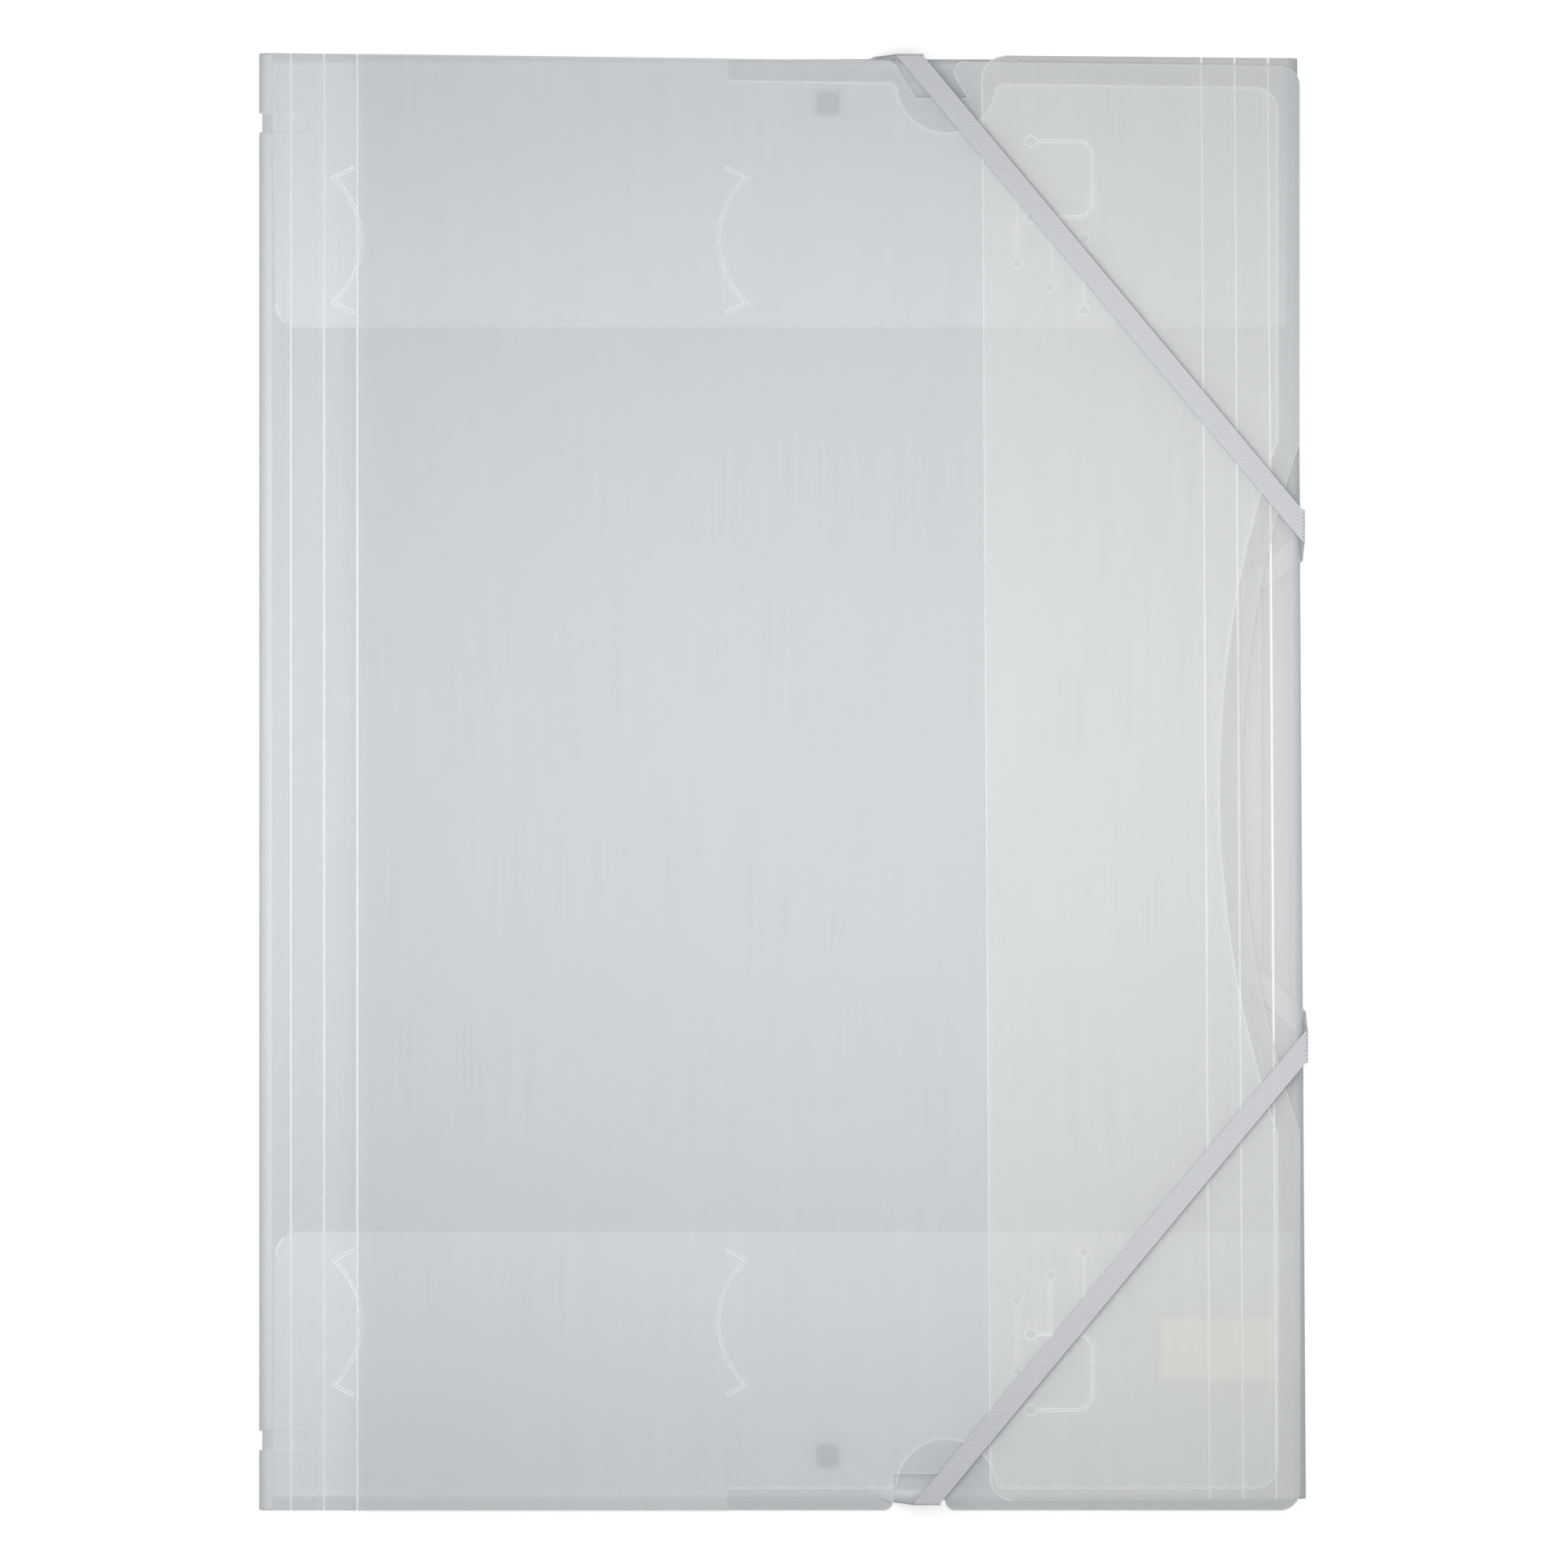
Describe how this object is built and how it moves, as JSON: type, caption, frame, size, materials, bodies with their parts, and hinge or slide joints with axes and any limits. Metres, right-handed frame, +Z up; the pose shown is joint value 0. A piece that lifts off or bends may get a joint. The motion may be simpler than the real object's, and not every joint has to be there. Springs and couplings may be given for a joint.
{
  "type": "elastic folder",
  "caption": "Closed flat document folder of clear frosted plastic sheet with hinged cover, creased spine, three inner flaps and a flat elastic over two corners.",
  "frame": {"origin": "middle of the folder's outline, on the surface that it lies on", "axes": "+Z up out of the cover, +Y towards the top edge, +X from the spine to the free edge"},
  "size_m": [0.3156, 0.4383, 0.0096],
  "materials": {
    "frosted_sheet": "clear polypropylene sheet, frosted on both faces, with fine extrusion streaks",
    "elastic": "flat braided elastic, pale grey, ribbed lengthwise",
    "rivet": "satin",
    "paper_label": "blank matt paper"
  },
  "bodies": {
    "back": {"back_panel": "frosted_sheet", "top_fold": "frosted_sheet", "bottom_fold": "frosted_sheet", "top_flap": "frosted_sheet", "bottom_flap": "frosted_sheet", "top_rivet": "rivet", "bottom_rivet": "rivet", "top_washer": "rivet", "bottom_washer": "rivet", "elastic_back_top": "elastic", "elastic_back_bottom": "elastic", "elastic_back_side": "elastic", "elastic_corner_top": "elastic", "elastic_corner_bottom": "elastic", "label": "paper_label", "spine_fold": "frosted_sheet", "side_fold": "frosted_sheet"},
    "spine_1": {"spine_strip_1": "frosted_sheet", "spine_crease_1": "frosted_sheet"},
    "spine_2": {"spine_strip_2": "frosted_sheet", "spine_crease_2": "frosted_sheet"},
    "spine_3": {"spine_strip_3": "frosted_sheet", "spine_crease_3": "frosted_sheet"},
    "cover": {"front_cover": "frosted_sheet", "cover_ply": "frosted_sheet"},
    "side_flap": {"side_flap": "frosted_sheet"}
  },
  "joints": [
    {"name": "spine_fold_turn", "type": "hinge", "parent": "back", "child": "spine_1", "pos_m": [-0.1534, 0, 0.0044], "axis": [0, -1, 0], "range_deg": [0, 179], "deforming": ["spine_fold", "elastic_corner_top", "elastic_corner_bottom"]},
    {"name": "spine_crease_1_turn", "type": "hinge", "parent": "spine_1", "child": "spine_2", "pos_m": [-0.1472, 0, 0.008], "axis": [0, -1, 0], "range_deg": [0, 60], "deforming": ["spine_crease_1", "elastic_corner_top", "elastic_corner_bottom"]},
    {"name": "spine_crease_2_turn", "type": "hinge", "parent": "spine_2", "child": "spine_3", "pos_m": [-0.1372, 0, 0.008], "axis": [0, -1, 0], "range_deg": [0, 60], "deforming": ["spine_crease_2", "elastic_corner_top", "elastic_corner_bottom"]},
    {"name": "spine_crease_3_turn", "type": "hinge", "parent": "spine_3", "child": "cover", "pos_m": [-0.1272, 0, 0.008], "axis": [0, -1, 0], "range_deg": [0, 60], "deforming": ["spine_crease_3", "elastic_corner_top", "elastic_corner_bottom"]},
    {"name": "side_flap_turn", "type": "hinge", "parent": "back", "child": "side_flap", "pos_m": [0.1538, 0, 0.004], "axis": [-0.006, 1, 0], "range_deg": [0, 179], "deforming": ["side_fold", "elastic_corner_top", "elastic_corner_bottom"]}
  ],
  "couplings": [
    {"joint": "side_flap_turn", "follows": "spine_fold_turn", "ratio": 1}
  ]
}
